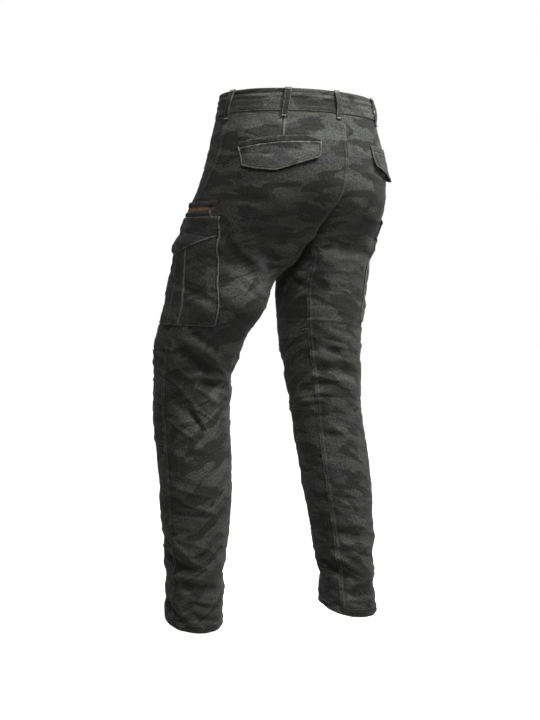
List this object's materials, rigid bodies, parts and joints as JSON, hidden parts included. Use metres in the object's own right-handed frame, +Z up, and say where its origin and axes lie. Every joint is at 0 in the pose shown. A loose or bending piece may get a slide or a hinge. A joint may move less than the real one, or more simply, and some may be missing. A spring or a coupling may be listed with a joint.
{
  "type": "motorcycle pants",
  "caption": "Worn motorcycle cargo trousers in mottled dark cotton, with loops, zipped thigh pockets, pleated cargo pockets and pointed flaps.",
  "frame": {"origin": "middle of the waist opening, level with the waistband's top edge, where the wearer's waist holds the garment up", "axes": "+Z up along the body, +X towards the wearer's left, -Y towards the front; the legs hang down to -Z"},
  "size_m": [0.3891, 0.3826, 0.9924],
  "materials": {
    "camo_cotton": "cotton twill, dyed in mottled dark grey, olive and slate",
    "zip_tape": "dark woven tape under coppery zip teeth",
    "brass": "antiqued brass",
    "dark_metal": "dark plated zinc, semi-matt"
  },
  "bodies": {
    "root": {"waistband_left": "camo_cotton", "waistband_right": "camo_cotton", "back_left": "camo_cotton", "back_right": "camo_cotton", "front_upper_left": "camo_cotton", "front_upper_right": "camo_cotton", "knee_left": "camo_cotton", "knee_right": "camo_cotton", "front_lower_left": "camo_cotton", "front_lower_right": "camo_cotton", "hem_left": "camo_cotton", "hem_right": "camo_cotton", "fly": "camo_cotton", "loop_side_left": "camo_cotton", "loop_side_right": "camo_cotton", "loop_back_left": "camo_cotton", "loop_back_right": "camo_cotton", "loop_front_left": "camo_cotton", "loop_front_right": "camo_cotton", "loop_centre": "camo_cotton", "back_welt_left": "camo_cotton", "back_welt_right": "camo_cotton", "back_flap_left": "camo_cotton", "back_flap_right": "camo_cotton", "front_pocket_edge_left": "camo_cotton", "front_pocket_edge_right": "camo_cotton", "zip_lip_upper_left": "camo_cotton", "zip_lip_upper_right": "camo_cotton", "zip_lip_lower_left": "camo_cotton", "zip_lip_lower_right": "camo_cotton", "zip_tape_left": "zip_tape", "zip_tape_right": "zip_tape", "cargo_bag_left": "camo_cotton", "cargo_bag_right": "camo_cotton", "cargo_flap_left": "camo_cotton", "cargo_flap_right": "camo_cotton", "waist_button": "brass", "zip_slider_left": "dark_metal", "zip_slider_right": "dark_metal"},
    "pull_left": {"zip_pull_left": "dark_metal"},
    "pull_right": {"zip_pull_right": "dark_metal"}
  },
  "joints": [
    {"name": "pull_left_swing", "type": "hinge", "parent": "root", "child": "pull_left", "pos_m": [0.18276, -0.02909, -0.2001], "axis": [0.1111, -0.9938, 0], "range_deg": [0, 150]},
    {"name": "pull_right_swing", "type": "hinge", "parent": "root", "child": "pull_right", "pos_m": [-0.17465, 0.04433, -0.20045], "axis": [0.3625, 0.932, 0], "range_deg": [0, 150]}
  ]
}
